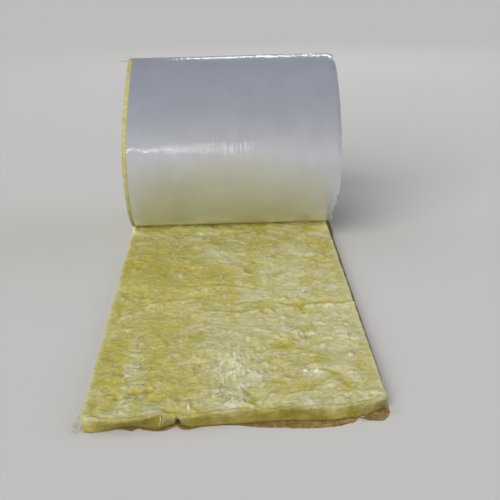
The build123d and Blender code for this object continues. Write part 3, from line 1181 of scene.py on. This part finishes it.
def build_fibres(sizes, look):
    blanket = Blanket(sizes)
    graph = bpy.context.evaluated_depsgraph_get()
    graph.update()
    tree = BVHTree.FromObject(bpy.data.objects["wool_laid"], graph)
    rng = random.Random(FIBRE_SEED)
    verts, faces, tones = [], [], []

    def add_strand(points, thickness, tone):
        strand(verts, faces, points, thickness)
        tones.extend([tone] * (len(verts) - len(tones)))

    def lay(points, lift, thickness, tone):
        laid = []
        for i, point in enumerate(points):
            hit = tree.ray_cast(Vector((point.x, point.y, ABOVE_WOOL)), Vector((0, 0, -1)))[0]
            if hit is None or point.y > blanket.crease_y - 0.015:
                return
            arch = math.sin(math.pi * i / (len(points) - 1))
            laid.append(Vector((point.x, point.y, hit.z + FIBRE_LIFT + lift * arch)))
        add_strand(laid, thickness, tone)

    for _ in range(SCATTERED_STRANDS):
        y = rng.uniform(blanket.end_y + 0.02, blanket.crease_y - 0.05)
        x = rng.uniform(blanket.left_x(y) + 0.02, blanket.right_x(y) - 0.02)
        combed = abs(x - COMBED_MIDDLE) < COMBED_HALF_WIDTH and COMBED_FROM < y < COMBED_TO
        heading = rng.gauss(math.pi / 2, 0.4) if combed else rng.uniform(0, math.tau)
        path = curled_path(rng, Vector((x, y, 0)), heading, rng.uniform(0.03, 0.08), 0.35, 5)
        tone = 0.55 + 0.6 * rng.random() + 0.4 * rough(path[0], 0.2, 2, 3.0)
        lay(path, rng.uniform(0, 0.003), rng.uniform(0.0010, 0.0019), tone)
    for x, y, radius, rise in TUFTS:
        for _ in range(int(LEAST_IN_TUFT + radius * TUFT_STRANDS_A_METRE)):
            away, angle = radius * math.sqrt(rng.random()), rng.uniform(0, math.tau)
            start = Vector((x + away * math.cos(angle), y + away * math.sin(angle), 0))
            path = curled_path(rng, start, rng.uniform(0, math.tau), rng.uniform(0.02, 0.06), 0.6, 6)
            lay(path, rng.uniform(0.0, 0.004), rng.uniform(0.0012, 0.0026), rng.uniform(1.0, 1.5))
    for points in CURLS:
        for _ in range(STRANDS_IN_CURL):
            off = Vector((rng.gauss(0, 0.0028), rng.gauss(0, 0.0028), 0))
            path = [Vector((*point, 0)) + off for point in in_metres(points)]
            lay(path, 0.0008, 0.0030, rng.uniform(1.3, 1.7))
    for place, spread, heading, turn, count, reach in LOOSE_ENDS:
        spread = Vector(spread)
        for _ in range(count):
            start = Vector(place) + Vector([rng.gauss(0, part) for part in spread])
            start.z = max(start.z, 0.002)
            heading_here = heading + rng.gauss(0, turn)
            path = curled_path(rng, start, heading_here, reach * rng.uniform(0.4, 1.0), 0.5, 6)
            rise = rng.uniform(-0.3, 0.6) * spread.z
            for i, point in enumerate(path):
                point.z += rise * i / 6
                point.x = max(point.x, FARTHEST_LEFT)
            add_strand(path, rng.uniform(0.0009, 0.0018), rng.uniform(1.1, 1.6))
    fibres = smooth_object("wool_fibres", verts, faces, wool_material(look))
    none = [0.0] * len(verts)
    masks = dict.fromkeys(("deep", "ochre", "cut", "core_and_shade", "painted_crease_light"), none)
    point_values(fibres, pale=tones, flow=np.array(verts), **masks)
    return fibres


class InsulationWoolLaid(bpy.types.Operator):
    """Adds the laid stretch of wool"""

    bl_idname = "insulation.wool_laid"
    bl_label = "Laid wool"

    def execute(self, context):
        wool = build_laid_wool(*settings(context))
        join_piece(wool, "wool_blanket")
        return {"FINISHED"}


class InsulationWoolWound(bpy.types.Operator):
    """Adds the wound turns of wool"""

    bl_idname = "insulation.wool_wound"
    bl_label = "Wound wool"

    def execute(self, context):
        wool = build_wound_wool(*settings(context))
        join_piece(wool, "wool_blanket")
        return {"FINISHED"}


class InsulationFibres(bpy.types.Operator):
    """Adds the loose fibres that lie on the laid wool"""

    bl_idname = "insulation.fibres"
    bl_label = "Loose fibres"

    def execute(self, context):
        fibres = build_fibres(*settings(context))
        join_piece(fibres, "wool_blanket")
        return {"FINISHED"}


class InsulationFacing(bpy.types.Operator):
    """Adds the facing of the laid stretch and the outer turn"""

    bl_idname = "insulation.facing"
    bl_label = "Facing sheet"

    def execute(self, context):
        sizes, look = settings(context)
        sheet = build_facing(sizes)
        finish_sheet(sheet, sizes, look)
        join_piece(sheet, "foil_facing")
        return {"FINISHED"}


class InsulationTabs(bpy.types.Operator):
    """Adds the side tabs of the inner turns"""

    bl_idname = "insulation.tabs"
    bl_label = "Side tabs"

    def execute(self, context):
        sizes, look = settings(context)
        tabs = build_tabs(sizes)
        finish_sheet(tabs, sizes, look)
        join_piece(tabs, "foil_facing")
        return {"FINISHED"}


# Stage

CAMERA_LENS = 61.2
CAMERA_FROM_AXIS = (-0.069, -5.132, 1.790)
CAMERA_PITCH = 20.84
CAMERA_YAW = 2.16
CAMERA_ROLL = 1.03
SENSOR_WIDTH = 36.0
FLOOR_RADIUS = 60.0
FLOOR_COLOUR = (0.51, 0.51, 0.505, 1.0)
HORIZON = (0.500, 0.498, 0.490, 1.0)
LOW_SKY = (0.195, 0.200, 0.212, 1.0)
HIGH_SKY = (0.203, 0.221, 0.260, 1.0)
DAYLIGHT = (1.0, 0.975, 0.93)

# Even light: name, the direction it comes from, strength, spread in degrees
SUNS = [
    ("front_key", (-0.42, -0.85, 0.55), 3.6, 50.0),
    ("top_fill", (-0.5, 0.3, 1.0), 0.50, 60.0),
    ("side_fill", (0.92, 0.15, 0.36), 0.85, 60.0),
]

# Lamps that the foil mirrors: name, place, what each is aimed at, size, power, tilt in degrees
SOFTBOXES = [
    ("front_strip", (-1.4, -8.0, 1.40), (-0.3, 0.4, 0.65), (1.9, 0.12), 11.0, -38.0),
    ("streak_light", (-0.48, -8.0, 1.25), (-0.2, 0.4, 0.65), (0.45, 2.0), 22.0, 0.0),
    ("back_window", (1.4, 9.0, 3.4), (0.2, 0.9, 1.0), (4.0, 1.0), 38.0, 0.0),
]


def add_camera():
    data = bpy.data.cameras.new("photo_view")
    data.lens = CAMERA_LENS
    data.sensor_width = SENSOR_WIDTH
    camera = add_object("photo_view", data)
    pitch, yaw, roll = (math.radians(a) for a in (CAMERA_PITCH, CAMERA_YAW, CAMERA_ROLL))
    forward = Vector((math.sin(yaw) * math.cos(pitch), math.cos(yaw) * math.cos(pitch), -math.sin(pitch)))
    right = Vector((math.cos(yaw), -math.sin(yaw), 0.0))
    down = forward.cross(right)
    right_rolled = math.cos(roll) * right + math.sin(roll) * down
    down_rolled = -math.sin(roll) * right + math.cos(roll) * down
    axes = Matrix((right_rolled, -down_rolled, -forward)).transposed()
    place = Vector(CAMERA_FROM_AXIS) + Vector((ROLL_AXIS.x, ROLL_AXIS.y, 0.0))
    camera.matrix_world = Matrix.Translation(place) @ axes.to_4x4()
    bpy.context.scene.camera = camera


def add_lamp(name, kind, strength, heading):
    """A lamp that shines along heading, and its data."""
    data = bpy.data.lights.new(name, kind)
    data.energy = strength
    lamp = add_object(name, data)
    lamp.rotation_euler = heading.to_track_quat("-Z", "Y").to_euler()
    return lamp, data


def add_softbox(name, place, target, size, power, tilt):
    """An oblong lamp at its place, aimed at target, which shows as a streak on the foil."""
    lamp, data = add_lamp(name, "AREA", power, Vector(target) - Vector(place))
    data.shape = "RECTANGLE"
    data.size, data.size_y = size
    lamp.location = place
    lamp.rotation_euler.rotate_axis("Z", math.radians(tilt))


def add_soft_sun(name, toward, strength, spread):
    """Even light over the whole floor from that direction, which shows no glare on the foil."""
    lamp, data = add_lamp(name, "SUN", strength, -Vector(toward))
    data.angle = math.radians(spread)
    data.color = DAYLIGHT
    lamp.visible_glossy = False


def build_stage():
    scene = bpy.context.scene
    scene.view_settings.view_transform = "Standard"
    clear_selection()
    bpy.ops.mesh.primitive_circle_add(vertices=96, radius=FLOOR_RADIUS, fill_type="NGON")
    floor = bpy.context.object
    floor.name = "floor"
    material, shader, n = new_material("pale floor")
    n.put(shader, {"Base Color": FLOOR_COLOUR, "Roughness": 0.95, "Specular IOR Level": 0.05})
    floor.data.materials.append(material)

    world = bpy.data.worlds.new("studio")
    scene.world = world
    world.use_nodes = True
    n = Nodes(world.node_tree)
    upward = n.split(n.add("TexCoord").outputs["Generated"])["Z"]
    sky = n.mix(n.span(upward, 0.30, 1.0), LOW_SKY, HIGH_SKY)
    sky = n.mix(n.span(upward, 0.03, 0.08, 1.0, 0.0), sky, HORIZON)
    n.put(world.node_tree.nodes["Background"], {"Color": sky, "Strength": 1.0})
    for sun in SUNS:
        add_soft_sun(*sun)
    for softbox in SOFTBOXES:
        add_softbox(*softbox)
    add_camera()


class InsulationStage(bpy.types.Operator):
    """Adds the floor, the soft light and the camera"""

    bl_idname = "insulation.stage"
    bl_label = "Stage"

    def execute(self, context):
        build_stage()
        return {"FINISHED"}


class InsulationPanel(bpy.types.Panel):
    """Lists the pieces, sizes and colours"""

    bl_idname = "VIEW3D_PT_insulation"
    bl_label = "Insulation roll"
    bl_space_type = "VIEW_3D"
    bl_region_type = "UI"
    bl_category = "Insulation"

    def draw(self, context):
        for operator in PIECES:
            self.layout.operator(operator.bl_idname)
        for group in settings(context):
            for name in group.__annotations__:
                self.layout.prop(group, name)


PIECES = (
    InsulationWoolLaid,
    InsulationWoolWound,
    InsulationFibres,
    InsulationFacing,
    InsulationTabs,
    InsulationStage,
)
CLASSES = (InsulationSizes, InsulationLook, *PIECES, InsulationPanel)


def register():
    for cls in CLASSES:
        bpy.utils.register_class(cls)
    bpy.types.Scene.insulation_sizes = PointerProperty(type=InsulationSizes)
    bpy.types.Scene.insulation_look = PointerProperty(type=InsulationLook)


def unregister():
    del bpy.types.Scene.insulation_look
    del bpy.types.Scene.insulation_sizes
    for cls in reversed(CLASSES):
        bpy.utils.unregister_class(cls)


def main():
    register()
    bpy.ops.insulation.wool_laid()
    bpy.ops.insulation.wool_wound()
    bpy.ops.insulation.fibres()
    bpy.ops.insulation.facing()
    bpy.ops.insulation.tabs()
    bpy.ops.insulation.stage()


if __name__ == "__main__":
    main()
